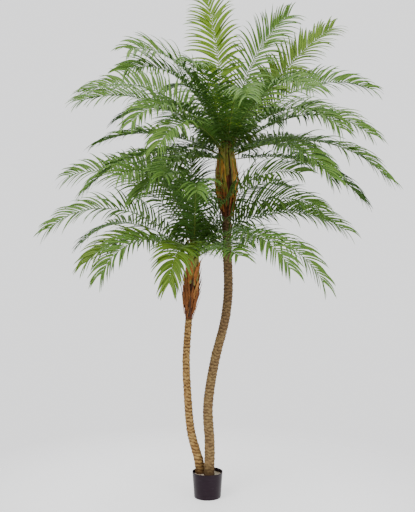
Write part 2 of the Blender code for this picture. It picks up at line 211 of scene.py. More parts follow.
class StemSettings(bpy.types.PropertyGroup):
    """Relief and colours of the two stems."""

    step: length_property("Row height", "Height of a row of faces", 0.0036)
    sides: count_property("Sides", "Faces round a stem", 60, 12, 120)
    tall_pitch: length_property("Tall scar pitch", "Height of one row of leaf scars", 0.0175)
    short_pitch: length_property("Short scar pitch", "Height of one row of leaf scars", 0.0205)
    tall_relief: length_property("Tall relief", "How far the scars stand out", 0.0044)
    short_relief: length_property("Short relief", "How far the scars stand out", 0.0046)
    tall_light: colour_property("Tall scars", "Raised scars of the tall stem", paint(144, 120, 76))
    tall_warm: colour_property("Tall patches", "Redder patches of the tall stem", paint(118, 90, 60))
    # Painted shade: the darker colour laid into the gaps between the tall stem's scars
    tall_gap: colour_property("Tall gaps", "Gaps between the tall stem's scars", paint(74, 54, 32))
    tall_aged: colour_property("Tall aged", "Greyer bark high on the tall stem", paint(98, 76, 56))
    short_light: colour_property("Short scars", "Raised scars of the short stem", paint(168, 137, 82))
    short_warm: colour_property("Short patches", "Darker patches of the short stem", paint(140, 104, 58))
    # Painted shade: the darker colour laid into the gaps between the short stem's scars
    short_gap: colour_property("Short gaps", "Gaps between the short stem's scars", paint(78, 50, 24))
    short_aged: colour_property("Short aged", "Bark high on the short stem", paint(158, 122, 70))


class SheathSettings(bpy.types.PropertyGroup):
    """Husks and fibres under each crown."""

    tall_husks: count_property("Tall husks", "Husks on the tall sheath", 84, 8, 200)
    short_husks: count_property("Short husks", "Husks on the short sheath", 44, 8, 200)
    fibres: count_property("Fibres", "Loose fibres on a sheath", 40, 0, 600)
    orange: colour_property("Orange husk", "Most husks", paint(162, 98, 44))
    rust: colour_property("Rust husk", "Older husks", paint(126, 74, 34))
    tan: colour_property("Tan husk", "Paler husks", paint(192, 134, 72))
    gold: colour_property("Golden husk", "Fresh husks high on a sheath", paint(204, 150, 58))
    moss: colour_property("Mossy husk", "Greenish husks high on a sheath", paint(128, 124, 40))
    horn: colour_property("Horn", "Dried hard husks that stick out", paint(70, 44, 26))
    # The same colour also covers the core, which shows only in the gaps between husks: partly its own
    # colour, partly painted shade
    tip: colour_property("Husk tip", "Dried tips and the gaps inside", paint(98, 52, 26))


class PotSettings(bpy.types.PropertyGroup):
    """Nursery pot and the cement in it."""

    wall: length_property("Wall", "Thickness of the pot's wall", 0.0022)
    floor: length_property("Floor", "Thickness of the pot's floor", 0.003)
    foot_taper: share_property("Foot", "Foot radius against rim radius", 0.8807)
    sides: count_property("Sides", "Faces round the pot", 96, 16, 256)
    plastic: colour_property("Plastic", "Colour of the pot", paint(24, 5, 19))
    cement: colour_property("Cement", "Colour of the fill", paint(204, 192, 172))
    stain: colour_property("Stain", "Damp marks on the fill", paint(150, 132, 108))


class StageSettings(bpy.types.PropertyGroup):
    """Camera, floor and lights."""

    distance: length_property("Camera distance", "From the pot's middle", 5.13)
    height: length_property("Camera height", "Above the floor", 1.70)
    tilt: FloatProperty(
        name="Tilt", description="Camera's tilt below level", default=math.radians(3.37), unit="ROTATION"
    )
    focal: ratio_property("Focal length", "In pixels of the picture", 900)
    floor_size: length_property("Floor size", "Side of the floor", 40.0)
    backdrop: ratio_property("Backdrop", "Brightness of the surroundings as seen", 1.56)
    ambient: ratio_property("Ambient", "Brightness of the surroundings as light", 0.95)
    floor: colour_property("Floor", "Colour of the floor", (0.86, 0.86, 0.87))
    wall: colour_property("Surroundings", "Colour of the light all round", (1.0, 1.0, 1.01))


# What the frame says


def unique_points(name):
    """Corner points of a CAD node, each once."""
    return list({tuple(round(c, 6) for c in v.co): v.co.copy() for v in NODES[name].data.vertices}.values())


def node_tree(name):
    """Search tree of a CAD node."""
    mesh = NODES[name].data
    return BVHTree.FromPolygons([v.co for v in mesh.vertices], [p.vertices for p in mesh.polygons])


class Stack:
    """Level rings of a CAD node, with smooth places between them."""

    def __init__(self, name, corners):
        levels = {}
        for point in unique_points(name):
            levels.setdefault(round(point.z, 4), []).append(point)
        self.rings = []
        for height in sorted(levels):
            ring = levels[height]
            if len(ring) == corners:
                centre = sum(ring, Vector()) / corners
                self.rings.append((centre, (ring[0] - centre).length))
        self.foot = self.rings[0][0].z
        self.top = self.rings[-1][0].z

    def at(self, height):
        """Centre and radius at one height, on a smooth curve through the rings."""
        last = len(self.rings) - 2
        span = next((i for i in range(last + 1) if height <= self.rings[i + 1][0].z), last)
        picks = [self.rings[min(max(span + i, 0), last + 1)] for i in (-1, 0, 1, 2)]
        low, high = picks[1][0].z, picks[2][0].z
        step = min(max((height - low) / (high - low), 0), 1)
        weights = (
            (-step + 2 * step**2 - step**3) / 2,
            (2 - 5 * step**2 + 3 * step**3) / 2,
            (step + 4 * step**2 - 3 * step**3) / 2,
            (step**3 - step**2) / 2,
        )
        centre = sum((pick[0] * weight for pick, weight in zip(picks, weights)), Vector())
        radius = sum(pick[1] * weight for pick, weight in zip(picks, weights))
        return Vector((centre.x, centre.y, height)), radius

    def skin(self, turn, height, out):
        """Point off the surface, at an angle round it."""
        centre, radius = self.at(height)
        return centre + level_out(turn) * (radius + out)

    def reaches(self, point):
        """True if a point is inside or close to the surface."""
        centre, radius = self.at(min(max(point.z, self.foot), self.top))
        return (point - centre).length < radius + HEART_REACH


class Rib:
    """An arching rib: the same curve as the source's, from the frond's own place in the frame."""

    # Straight steps that the curve is added up from
    steps = 60

    def __init__(self, name, row, sheath):
        self.rise, self.droop, self.length, self.green = row
        points = unique_points(name)
        height = max(p.z for p in points if sheath.reaches(p))
        heart = sheath.at(min(height, sheath.top))[0]
        points.sort(key=lambda p: (p - heart).length)
        self.root = sum(points[:RIB_RING], Vector()) / RIB_RING
        reach = SECOND_RING * self.length
        others = sorted(points[RIB_RING:], key=lambda p: abs((p - self.root).length - reach))
        along = sum(others[:RIB_RING], Vector()) / RIB_RING - self.root
        self.turn = math.atan2(along.y, along.x)
        self.level = level_across(self.turn)
        self.roll = math.radians(FACING) * (self.rise / 90) ** FACING_EASE * math.cos(self.turn)
        self.points = [self.root]
        for i in range(self.steps):
            move = self.heading((i + 0.5) / self.steps) * self.length / self.steps
            self.points.append(self.points[-1] + move)

    def heading(self, share):
        """Direction of the rib at a share of its length."""
        slope = math.radians(self.rise - self.droop * share**BEND)
        flat = math.cos(slope)
        return Vector((flat * math.cos(self.turn), flat * math.sin(self.turn), math.sin(slope)))

    def at(self, share):
        """Point, forward, side and up directions at a share of the length."""
        place = max(share, 0) * self.steps
        low = min(int(place), self.steps - 1)
        forward = self.heading(max(share, 0))
        point = self.points[low].lerp(self.points[low + 1], place - low)
        side = self.level * math.cos(self.roll) + forward.cross(self.level) * math.sin(self.roll)
        return point, forward, side, forward.cross(side)


SHEATHS = {crown: Stack(f"{crown}_sheath", SHEATH_CORNERS) for crown in CROWNS}
STEMS = {crown: Stack(f"{crown}_stem", STEM_CORNERS) for crown in CROWNS}
RIBS = {
    f"{crown}_frond_{number:02d}": Rib(f"{crown}_frond_{number:02d}", row, SHEATHS[crown])
    for crown, rows in zip(CROWNS, (TALL_FRONDS, SHORT_FRONDS))
    for number, row in enumerate(rows, 1)
}


def frond_names(crown, greens=GREENS):
    """Names of a crown's fronds that have one of some greens."""
    return [name for name, rib in RIBS.items() if name.startswith(crown) and rib.green in greens]


# Meshes


def finish_piece(name, bm, materials, replaced, smooth_below=40):
    """Turn a bmesh into a piece that rides on the plant, smooth below an angle in degrees."""
    mesh = bpy.data.meshes.new(name)
    bm.to_mesh(mesh)
    bm.free()
    mesh.shade_smooth()
    mesh.set_sharp_from_angle(angle=math.radians(smooth_below))
    for material in materials:
        mesh.materials.append(material)
    obj = bpy.data.objects.new(name, mesh)
    bpy.context.scene.collection.objects.link(obj)
    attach(obj, "root")
    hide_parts(*replaced)


def join(target, bm):
    """Add one bmesh to another and free it."""
    mesh = bpy.data.meshes.new("part")
    bm.to_mesh(mesh)
    bm.free()
    target.from_mesh(mesh)
    bpy.data.meshes.remove(mesh)


def outward(bm):
    """Turn a closed shape's faces outwards."""
    if bm.calc_volume(signed=True) < 0:
        bmesh.ops.reverse_faces(bm, faces=bm.faces)


def new_tube(sides, rows):
    """A closed upright tube of radius 1 and height 1, in level rows of faces."""
    bm = bmesh.new()
    bmesh.ops.create_cone(bm, cap_ends=True, segments=sides, radius1=1, radius2=1, depth=1)
    uprights = [e for e in bm.edges if abs(e.verts[0].co.z - e.verts[1].co.z) > 0.5]
    bmesh.ops.subdivide_edges(bm, edges=uprights, cuts=rows - 1)
    return bm


def blade_template(section, rows, accents=()):
    """A straight closed blade from a section, one row of faces per unit of Y, ending in a point.

    Faces whose middle lies between an accent's two X values, on the upper side, take its material.
    """
    bm = bmesh.new()
    bmesh.ops.create_circle(bm, cap_ends=True, segments=len(section), radius=1)
    bm.verts.ensure_lookup_table()
    for vert, (across, up) in zip(bm.verts, section):
        vert.co = Vector((across, 0, up))
    end = bm.faces[:][0]
    for _ in range(rows):
        end = bmesh.ops.extrude_discrete_faces(bm, faces=[end])["faces"][0]
        bmesh.ops.translate(bm, verts=end.verts, vec=(0, 1, 0))
    bmesh.ops.pointmerge(bm, verts=end.verts, merge_co=(0, rows, 0))
    outward(bm)
    layer = bm.loops.layers.uv.new("UVMap")
    for face in bm.faces:
        face.normal_update()
        middle = face.calc_center_median()
        for low, high, index in accents:
            if face.normal.z > 0 and low < middle.x < high:
                face.material_index = index
        for loop in face.loops:
            loop[layer].uv = (loop.vert.co.x * 0.5 + 0.5, loop.vert.co.y / rows)
    mesh = bpy.data.meshes.new("blade")
    bm.to_mesh(mesh)
    bm.free()
    return mesh


def lay_blade(bm, template, stations, offset):
    """Copy a blade and carry each of its rows to a station: point, width vector and depth vector."""
    old_verts, old_faces = len(bm.verts), len(bm.faces)
    bm.from_mesh(template)
    bm.verts.ensure_lookup_table()
    for vert in bm.verts[old_verts:]:
        point, wide, deep = stations[round(vert.co.y)]
        vert.co = point + wide * vert.co.x + deep * vert.co.z
    if offset:
        bm.faces.ensure_lookup_table()
        for face in bm.faces[old_faces:]:
            face.material_index += offset


def lay_blades(template, blades):
    """Many copies of a blade in one bmesh: each blade is its stations and its material offset."""
    bm = bmesh.new()
    bm.loops.layers.uv.new("UVMap")
    for stations, offset in blades:
        lay_blade(bm, template, stations, offset)
    return bm


def row_shares(rows):
    """Shares of a blade's length at the ends of its rows."""
    return [row / rows for row in range(rows + 1)]


# Fronds


LEAF_SECTION = ((-1, 1.0), (-0.27, 0.12), (0.27, 0.12), (1, 1.0), (0, -0.30))
# The paler fold along a leaflet, as an accent of its blade
LEAF_FOLD = (-0.2, 0.2, 1)
# How far a frond's two rows of leaflets are out of step, and by how much each leaflet strays,
# in spaces between pairs
PAIR_STEP = 0.18
PAIR_STRAY = 0.14
# Spread of the leaflets' angle and lift in degrees and of their twist in radians, and the ranges
# drawn for their length, width and sag
ANGLE_SPREAD = 3.5
LIFT_SPREAD = 7
TWIST_SPREAD = 0.22
LENGTH_RANGE = (0.93, 1.06)
WIDTH_RANGE = (0.9, 1.1)
SAG_RANGE = (0.75, 1.3)
# A blocked leaflet is tried again at the next of these shares of its length
LEAF_SCALES = (1.0, 0.75, 0.5)
# How much more the leaflets at a frond's foot hang over than the others
EARLY_SAG = 1.3
# Faces round and along a rib, and how far along the frond it goes
RIB_CORNERS = 8
RIB_ROWS = 28
RIB_REACH = 0.95
# A rib's half width and half height at both ends, what its foot adds to them, the share of the
# rib that this takes, and the share that has the foot's colour
RIB_HALF_WIDTHS = (0.0027, 0.0010)
RIB_HALF_HEIGHTS = (0.0023, 0.0009)
RIB_FOOT_ADDS = (0.0048, 0.0012)
RIB_FOOT = 0.10
RIB_FOOT_COLOUR = 0.07


def rib_half_sizes(share):
    """Half width and half height of the rib: a broad foot that soon grows slender."""
    foot = max(1 - share / RIB_FOOT, 0) ** 1.5
    wide = blend(*RIB_HALF_WIDTHS, share) + RIB_FOOT_ADDS[0] * foot
    return wide, blend(*RIB_HALF_HEIGHTS, share) + RIB_FOOT_ADDS[1] * foot


def build_rib(rib):
    """One closed rib, swept along its curve."""
    bm = bmesh.new()
    bmesh.ops.create_circle(bm, cap_ends=True, segments=RIB_CORNERS, radius=1)
    end = bm.faces[:][0]
    shares = [(row / RIB_ROWS) ** 1.25 * RIB_REACH for row in range(RIB_ROWS + 1)]
    before = Matrix.Identity(4)
    for row, share in enumerate(shares):
        point, forward, side, up = rib.at(share)
        wide, tall = rib_half_sizes(share)
        place = Matrix((side * wide, up * tall, forward)).transposed().to_4x4()
        place.translation = point
        if row:
            end = bmesh.ops.extrude_discrete_faces(bm, faces=[end])["faces"][0]
            for face in {f for edge in end.edges for f in edge.link_faces if f is not end}:
                face.material_index = 1 if share < RIB_FOOT_COLOUR else 0
        for vert in end.verts:
            vert.co = place @ before.inverted() @ vert.co
        before = place
    outward(bm)
    return bm


def leaflet_stations(rib, share, hand, scale, chance, settings):
    """Where each row of a leaflet lies: it leaves the rib in a shallow V and hangs over."""
    point, forward, side, up = rib.at(share)
    span = max((share - BARE_PETIOLE) / (1 - BARE_PETIOLE), 0)
    angle = math.radians(blend(*LEAF_ANGLES, span) + chance.gauss(0, ANGLE_SPREAD))
    lift = math.radians(LEAF_LIFT + chance.gauss(0, LIFT_SPREAD))
    out = side * hand * math.cos(lift) + up * math.sin(lift)
    first = (forward * math.cos(angle) + out * math.sin(angle)).normalized()
    full = 0.5 + 0.5 * math.sin(math.pi * span**0.75)
    early = max(blend(settings.early, 1.0, (share - settings.first) / (BARE_PETIOLE - settings.first)), 1)
    length = settings.leaf_length * full * early * scale * chance.uniform(*LENGTH_RANGE)
    half = settings.leaf_width / 2 * (0.62 + 0.38 * full) * chance.uniform(*WIDTH_RANGE)
    if rib.green in ("young", "bright"):
        half *= settings.young_width
    past_level = max(rib.droop * share - rib.rise, 0) / 90
    limp = settings.sag * chance.uniform(*SAG_RANGE)
    limp *= 1 + past_level + EARLY_SAG * max(1 - share / BARE_PETIOLE, 0)
    twist = chance.gauss(0, TWIST_SPREAD)
    wide = (forward - first * forward.dot(first)).normalized() * hand
    place = point + first * rib_half_sizes(share)[0] * 0.5
    rows = settings.bends
    stations = []
    for t in row_shares(rows):
        heading = (first + DOWN * limp * t**1.3).normalized()
        across = (wide - heading * wide.dot(heading)).normalized()
        across = Matrix.Rotation(twist * t, 3, heading) @ across
        spread = half * (0.5 + 0.5 * min(t / 0.2, 1)) * (1 - t**2.2) ** 0.8
        deep = across.cross(heading) * half * settings.fold * (1 - 0.5 * t)
        stations.append((place, across * spread, deep))
        place = place + heading * length / rows
    return stations


def blocked(stations, trees):
    """True if a blade's middle line runs into a stem or a sheath."""
    for (start, _, _), (end, _, _) in zip(stations[1:], stations[2:]):
        step = end - start
        if any(tree.ray_cast(start, step.normalized(), step.length)[0] for tree in trees):
            return True
    return False


def leaflet_blades(name, pairs, trees, settings):
    """Every leaflet of one frond that is clear of the stems and sheaths."""
    chance = random.Random(name)
    for pair in range(pairs):
        for hand in (-1, 1):
            step = (pair + PAIR_STEP * hand + chance.uniform(-PAIR_STRAY, PAIR_STRAY)) / (pairs - 1)
            share = min(max(blend(settings.first, settings.last, step), settings.first), 0.99)
            for scale in LEAF_SCALES:
                stations = leaflet_stations(RIBS[name], share, hand, scale, chance, settings)
                if not blocked(stations, trees):
                    yield stations, 0
                    break


# Stems


# How high up a stem's foot flares, and how far
FLARE = (0.03, 0.003)
# Each stem's scars: knobs in a turn, height between the knobs against the height on them, how
# much painted shade darkens the gaps between the scars, and the seed
SCARS = {
    "tall": {"knobs": 4.5, "evenness": 0.3, "gap": 0.85, "seed": 11},
    "short": {"knobs": 2.5, "evenness": 0.4, "gap": 0.95, "seed": 37},
}
# Shares of a row's height below and above its lip
SCAR_RISE = 0.72
SCAR_FALL = 0.28
# How fine the noise is round and up a stem: for the row's waver, worn places and uneven knobs
WAVER = (1.3, 14)
WEAR = (1.1, 22)
UNEVEN = (2.5, 40)


def bark_noise(turn, climb, grain, seed):
    """Smooth noise on a stem's surface, from about -1 to 1."""
    around, along = grain
    return noise.noise(Vector((math.cos(turn) * around, math.sin(turn) * around, climb * along + seed)))


def scar_relief(turn, climb, pitch, scars):
    """Relief of old leaf scars, from 0 in the gaps to about 1 on the lips.

    One row of scars winds up the stem. The knobs of each turn sit over the gaps between those of
    the turn below, and the half in their count closes that pattern round the stem.
    """
    seed = scars["seed"]
    wander = bark_noise(turn, climb, WAVER, seed) * 0.55
    row = climb / pitch + turn / TAU + wander * 1.1
    level = row % 1
    lip = min(level / SCAR_RISE, (1 - level) / SCAR_FALL)
    lip = lip * lip * (3 - 2 * lip)
    worn = 0.08 + 0.9 * bark_noise(turn, climb, WEAR, -2 * seed)
    lip = blend(lip, 1, min(max(worn, 0), 0.6))
    phase = scars["knobs"] * turn + math.pi * math.floor(row) + wander * 6
    knob = 0.5 + 0.5 * math.cos(phase)
    knob *= 0.75 + 0.5 * bark_noise(turn, climb, UNEVEN, -seed)
    return lip * blend(scars["evenness"], 1, knob)


def build_stem(crown, settings):
    """A closed stem with its scars standing out of the mesh."""
    stack = STEMS[crown]
    pitch, relief = (getattr(settings, f"{crown}_{key}") for key in ("pitch", "relief"))
    bm = new_tube(settings.sides, round((stack.top - stack.foot) / settings.step))
    layer = bm.verts.layers.float.new("relief")
    for vert in bm.verts:
        turn = math.atan2(vert.co.y, vert.co.x)
        height = blend(stack.foot, stack.top, vert.co.z + 0.5)
        centre, radius = stack.at(height)
        around = level_out(turn)
        scar = scar_relief(turn, height, pitch, SCARS[crown])
        rough = noise.fractal((centre + around * radius) * 90, 0.6, 2.2, 4)
        flare = max(1 - (height - stack.foot) / FLARE[0], 0) ** 2 * FLARE[1]
        out = scar * relief + rough * 0.0007 + flare
        # The relief is kept for the bark's painted shade in the gaps between the scars
        vert[layer] = min(max(scar + rough * 0.22, 0), 1)
        vert.co = centre + around * (radius + out)
    outward(bm)
    return bm


# Sheaths


HUSK_SECTION = ((-1, -0.1), (-0.5, 0.55), (0, 0.75), (0.5, 0.55), (1, -0.1), (0.5, 0.22), (-0.5, 0.22))
FIBRE_SECTION = ((-1, 0), (0, 1), (1, 0))
HUSK_ROWS = 9
FIBRE_ROWS = 5
GOLDEN_TURN = math.radians(137.508)
# Faces round and along a core, and its radius against the solid sheath's
CORE_SIDES = 40
CORE_ROWS = 71
CORE_SUNK = 0.93
# Colours of the husks, and what is drawn from low and high on a sheath
HUSK_SHADES = ("orange", "rust", "tan", "gold", "moss", "horn")
OLD_HUSKS = ("orange", "orange", "orange", "rust", "rust", "tan")
FRESH_HUSKS = ("tan", "gold", "gold", "moss", "orange", "orange")
# Each sheath's husks: lengths at its foot and top, half width, how far the tips stand out, the
# share of the husks after which they are fresh, and the seed
HUSKS = {
    "tall": {"lengths": (0.12, 0.15), "half": 0.0090, "stand": 0.012, "fresh": 0.25, "seed": 5},
    "short": {"lengths": (0.14, 0.11), "half": 0.0125, "stand": 0.024, "fresh": 0.92, "seed": 6},
}
# Height over which husks and fibres begin, thickness of a husk, and shares drawn for its stand
HUSK_REACH = 0.27
HUSK_DEPTH = 0.0055
HUSK_STANDS = (0.4, 0.6, 0.8, 1.0, 1.35)
# Hard horns among the husks: one in so many, their stand and half width against the others'
HORN_EVERY = 7
HORN_STAND = 1.3
HORN_WIDTH = 0.7
# Ranges drawn for a fibre: its foot as a share of that height, length, distance out, half width
FIBRE_FEET = (0.02, 0.95)
FIBRE_LENGTHS = (0.04, 0.11)
FIBRE_OUTS = (0.002, 0.006)
FIBRE_HALVES = (0.0004, 0.0009)
# The bud in a heart: leaves, how far below the top they begin, first and last length, half width
BUD_LEAVES = 14
BUD_SUNK = 0.04
BUD_LENGTHS = (0.09, 0.17)
BUD_HALF = 0.013
# A frond's clasping foot: how far below the frond it begins, how far above the sheath's foot at
# the least, how far out along the rib it goes, and its half width and thickness at both ends
CLASP_DROP = 0.15
CLASP_FLOOR = 0.13
CLASP_REACH = 0.095
CLASP_HALVES = (0.0092, 0.0030)
CLASP_DEPTHS = (0.0060, 0.002)


def husk_offset(shade):
    """Where a shade's pair of materials, husk and dried tip, begins."""
    return 2 * HUSK_SHADES.index(shade)


def build_core(crown):
    """The dark fibrous core that the husks grow round, closed at both ends; the dark is partly painted
    shade in the gaps.
    """
    stack = SHEATHS[crown]
    bm = new_tube(CORE_SIDES, CORE_ROWS)
    for vert in bm.verts:
        turn = math.atan2(vert.co.y, vert.co.x)
        height = blend(stack.foot, stack.top, vert.co.z + 0.5)
        centre, radius = stack.at(height)
        spot = Vector((math.cos(turn) * 7, math.sin(turn) * 7, height * 9 + HUSKS[crown]["seed"]))
        strand = noise.fractal(spot, 0.7, 2.1, 3)
        vert.co = centre + level_out(turn) * (radius * CORE_SUNK + strand * 0.0018)
    outward(bm)
    return bm


def husk_stations(stack, turn, low, length, half, stand, lean):
    """A husk's rows: it hugs the sheath and its tip stands away."""
    stations = []
    for t in row_shares(HUSK_ROWS):
        height = low + length * t
        held = min(max(height, stack.foot + 0.001), stack.top)
        angle = turn + lean * t
        point = stack.skin(angle, held, 0.0005 + stand * t**1.9)
        point.z = height
        spread = half * (0.55 + 0.45 * math.sin(min(t / 0.45, 1) * math.pi / 2)) * (1 - t**1.8) ** 0.95
        deep = level_out(angle) * (HUSK_DEPTH * (1 - 0.55 * t))
        stations.append((point, level_across(angle) * spread, deep))
    return stations


def husk_template():
    """A husk's blade with a dried tip."""
    mesh = blade_template(HUSK_SECTION, HUSK_ROWS)
    for polygon in mesh.polygons:
        if polygon.center.y > HUSK_ROWS - 1.2:
            polygon.material_index = 1
    return mesh


def husk_blades(crown, count):
    """Husks in a spiral up the sheath, the upper ones over the feet of the fronds."""
    stack, husks = SHEATHS[crown], HUSKS[crown]
    chance = random.Random(husks["seed"])
    for number in range(count):
        share = number / (count - 1)
        turn = number * GOLDEN_TURN + chance.gauss(0, 0.12)
        low = stack.foot - 0.004 + HUSK_REACH * share**0.92
        length = blend(*husks["lengths"], share) * chance.uniform(0.82, 1.18)
        stand = husks["stand"] * chance.choice(HUSK_STANDS)
        half = min(husks["half"] * chance.uniform(0.8, 1.2), stack.at(low + length / 4)[1] * 0.42)
        fresh = share > husks["fresh"] + chance.gauss(0, 0.08)
        shade = chance.choice(FRESH_HUSKS if fresh else OLD_HUSKS)
        if number % HORN_EVERY == 2:
            stand, half, shade = husks["stand"] * HORN_STAND, husks["half"] * HORN_WIDTH, "horn"
        stations = husk_stations(stack, turn, low, length, half, stand, chance.gauss(0, 0.16))
        yield stations, husk_offset(shade)


def bud_blades(crown):
    """Unopened leaves that lean together and close the top of the heart."""
    stack = SHEATHS[crown]
    for number in range(BUD_LEAVES):
        share = number / BUD_LEAVES
        turn = number * GOLDEN_TURN
        stations = []
        for t in row_shares(HUSK_ROWS):
            height = stack.top - BUD_SUNK + blend(*BUD_LENGTHS, share) * t
            centre, radius = stack.at(min(height, stack.top))
            point = centre + level_out(turn) * radius * blend(1.3, 0.15, t) * (1 - share / 2)
            point.z = height
            spread = BUD_HALF * (1 - t**2.2) ** 0.8
            stations.append((point, level_across(turn) * spread, level_out(turn) * (0.003 - 0.002 * t)))
        yield stations, husk_offset("moss")


def fibre_blades(crown, count):
    """Loose fibres that lie up and across the husks."""
    stack = SHEATHS[crown]
    chance = random.Random(HUSKS[crown]["seed"])
    for _ in range(count):
        turn = chance.uniform(0, TAU)
        low = stack.foot + HUSK_REACH * chance.uniform(*FIBRE_FEET)
        length = chance.uniform(*FIBRE_LENGTHS)
        lean = chance.gauss(0, 0.5)
        out = chance.uniform(*FIBRE_OUTS)
        half = chance.uniform(*FIBRE_HALVES)
        stations = []
        for t in row_shares(FIBRE_ROWS):
            angle = turn + lean * t
            bow = math.sin(math.pi * min(t + 0.1, 1)) * 0.002
            point = stack.skin(angle, min(low + length * t, stack.top), out + bow)
            stations.append((point, level_across(angle) * half, level_out(angle) * half * 1.5))
        yield stations, 0


def clasp_blades(crown):
    """The clasping foot of each frond: a strap that comes up the heart and runs out into the rib."""
    stack = SHEATHS[crown]
    for rib in (RIBS[name] for name in frond_names(crown)):
        low = max(rib.root.z - CLASP_DROP, stack.foot + CLASP_FLOOR)
        start = stack.skin(rib.turn, low, 0.001)
        stations = []
        for t in row_shares(HUSK_ROWS):
            climb = min(t / 0.55, 1)
            lift = max((t - 0.45) / 0.55, 0)
            on_heart = start.lerp(rib.root, climb)
            on_rib, _, side, up = rib.at(CLASP_REACH * lift)
            point = on_heart.lerp(on_rib, min(lift * 3, 1))
            wide = rib.level.lerp(side, min(lift * 2, 1)).normalized()
            deep = level_out(rib.turn).lerp(-up, min(lift * 2, 1)).normalized()
            half = blend(*CLASP_HALVES, t**0.8)
            stations.append((point, wide * half, deep * blend(*CLASP_DEPTHS, t)))
        yield stations, 0


# Pot


# Radius of the bend round the pot's foot, height of its rounded lip, steps of each arc
POT_BEND = 0.0035
POT_LIP = 0.0011
ARC_STEPS = 4
# The fill: foot radius against its edge, rings on top, faces round, and the height and reach of
# the cement that creeps up the stems
FILL_FOOT = 0.885
FILL_RINGS = 26
FILL_SIDES = 72
CREEP = (0.003, 0.010)


def arc(centre, radii, angles):
    """Points of part of an ellipse, as radius and height pairs."""
    steps = [blend(*angles, i / ARC_STEPS) for i in range(ARC_STEPS + 1)]
    return [(centre[0] + math.cos(a) * radii[0], centre[1] + math.sin(a) * radii[1]) for a in steps]


def face_rank(face, corners):
    """A number that sorts faces by their first and last corner, out of all the mesh's corners."""
    places = [vert.index for vert in face.verts]
    return min(places) * corners + max(places)


def spin_profile(bm, profile, sides):
    """Turn a profile of radius and height pairs round the Z axis, and weld it."""
    verts = [bm.verts.new((radius, 0, height)) for radius, height in profile]
    edges = [bm.edges.new(pair) for pair in zip(verts, verts[1:])]
    bmesh.ops.spin(
        bm, geom=verts + edges, cent=(0, 0, 0), axis=(0, 0, 1), angle=TAU, steps=sides, use_merge=True
    )
    bmesh.ops.remove_doubles(bm, verts=bm.verts, dist=0.00002)
    bmesh.ops.recalc_face_normals(bm, faces=bm.faces)
    outward(bm)
    # A spin leaves its faces in another order each time, so they are put in their corners' order
    bm.verts.index_update()
    bm.faces.sort(key=lambda face: face_rank(face, len(bm.verts)))


def build_pot(settings):
    """The pot's wall, rim and floor in one turned shell."""
    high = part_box("pot")[1]
    rim, top = high.x, high.z
    foot = rim * settings.foot_taper
    wall, floor = settings.wall, settings.floor
    profile = [(0, floor), (foot - wall - 0.004, floor), (foot - wall - 0.001, floor + 0.001)]
    profile += [(foot - wall, floor + 0.004), (rim - wall - 0.0002, top - 0.0012)]
    profile += arc((rim - wall / 2, top - POT_LIP), (wall / 2, POT_LIP), (math.pi, 0))
    profile += [(rim - 0.0001, top - 0.0022), (foot + 0.0004, POT_BEND + 0.002)]
    profile += arc((foot - POT_BEND, POT_BEND), (POT_BEND, -POT_BEND), (0, math.pi / 2))
    profile += [(foot * 0.9, 0.0), (foot * 0.88, 0.0012), (foot * 0.5, 0.0012), (0, 0.0012)]
    bm = bmesh.new()
    spin_profile(bm, profile, settings.sides)
    return bm


def build_fill():
    """The cement: a skinned-over top that is a little uneven and creeps up the stems."""
    low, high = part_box("pot_fill")
    top, edge = high.z, high.x
    profile = [(0, low.z), (edge * FILL_FOOT, low.z), (edge, top - 0.0015)]
    profile += [(edge * (FILL_RINGS - i) / FILL_RINGS, top) for i in range(FILL_RINGS)] + [(0, top)]
    bm = bmesh.new()
    spin_profile(bm, profile, FILL_SIDES)
    feet = [STEMS[crown].rings[0] for crown in CROWNS]
    for vert in bm.verts:
        if vert.co.z < top - 0.0001 or vert.co.xy.length > edge * 0.99:
            continue
        creep = sum(max(1 - ((vert.co - c).xy.length - r) / CREEP[1], 0) ** 2 for c, r in feet)
        lumps = noise.fractal(vert.co * 55, 0.8, 2.1, 4)
        vert.co.z += min(creep, 1) * CREEP[0] + lumps * 0.0009 - 0.0006
    return bm


# Finishes


# Stretch of the noise in each shared group, and the inputs that every one has
STRETCHES = {"grain": (1, 1, 1), "strands": (1, 1, 0.12), "veins": (1, 0.04, 1), "rings": (0.3, 0.3, 1)}
MASK_INPUTS = ("Scale", "Detail", "Low", "High")


def wire(tree, source, target):
    """Link two sockets."""
    tree.links.new(source, target)


def noise_group(name, stretch):
    """A shader group: a mask from noise with its own stretch."""
    tree = bpy.data.node_groups.new(name, "ShaderNodeTree")
    face = tree.interface
    face.new_socket("Vector", in_out="INPUT", socket_type="NodeSocketVector")
    for label in MASK_INPUTS:
        face.new_socket(label, in_out="INPUT", socket_type="NodeSocketFloat")
    face.new_socket("Mask", in_out="OUTPUT", socket_type="NodeSocketFloat")
    inside = tree.nodes.new("NodeGroupInput").outputs
    outside = tree.nodes.new("NodeGroupOutput").inputs
    mapping = tree.nodes.new("ShaderNodeMapping")
    mapping.inputs["Scale"].default_value = stretch
    cloud = tree.nodes.new("ShaderNodeTexNoise")
    spread = tree.nodes.new("ShaderNodeMapRange")
    wire(tree, inside["Vector"], mapping.inputs["Vector"])
    wire(tree, mapping.outputs["Vector"], cloud.inputs["Vector"])
    wire(tree, inside["Scale"], cloud.inputs["Scale"])
    wire(tree, inside["Detail"], cloud.inputs["Detail"])
    wire(tree, cloud.outputs["Fac"], spread.inputs["Value"])
    wire(tree, inside["Low"], spread.inputs["From Min"])
    wire(tree, inside["High"], spread.inputs["From Max"])
    wire(tree, spread.outputs["Result"], outside["Mask"])
    return tree


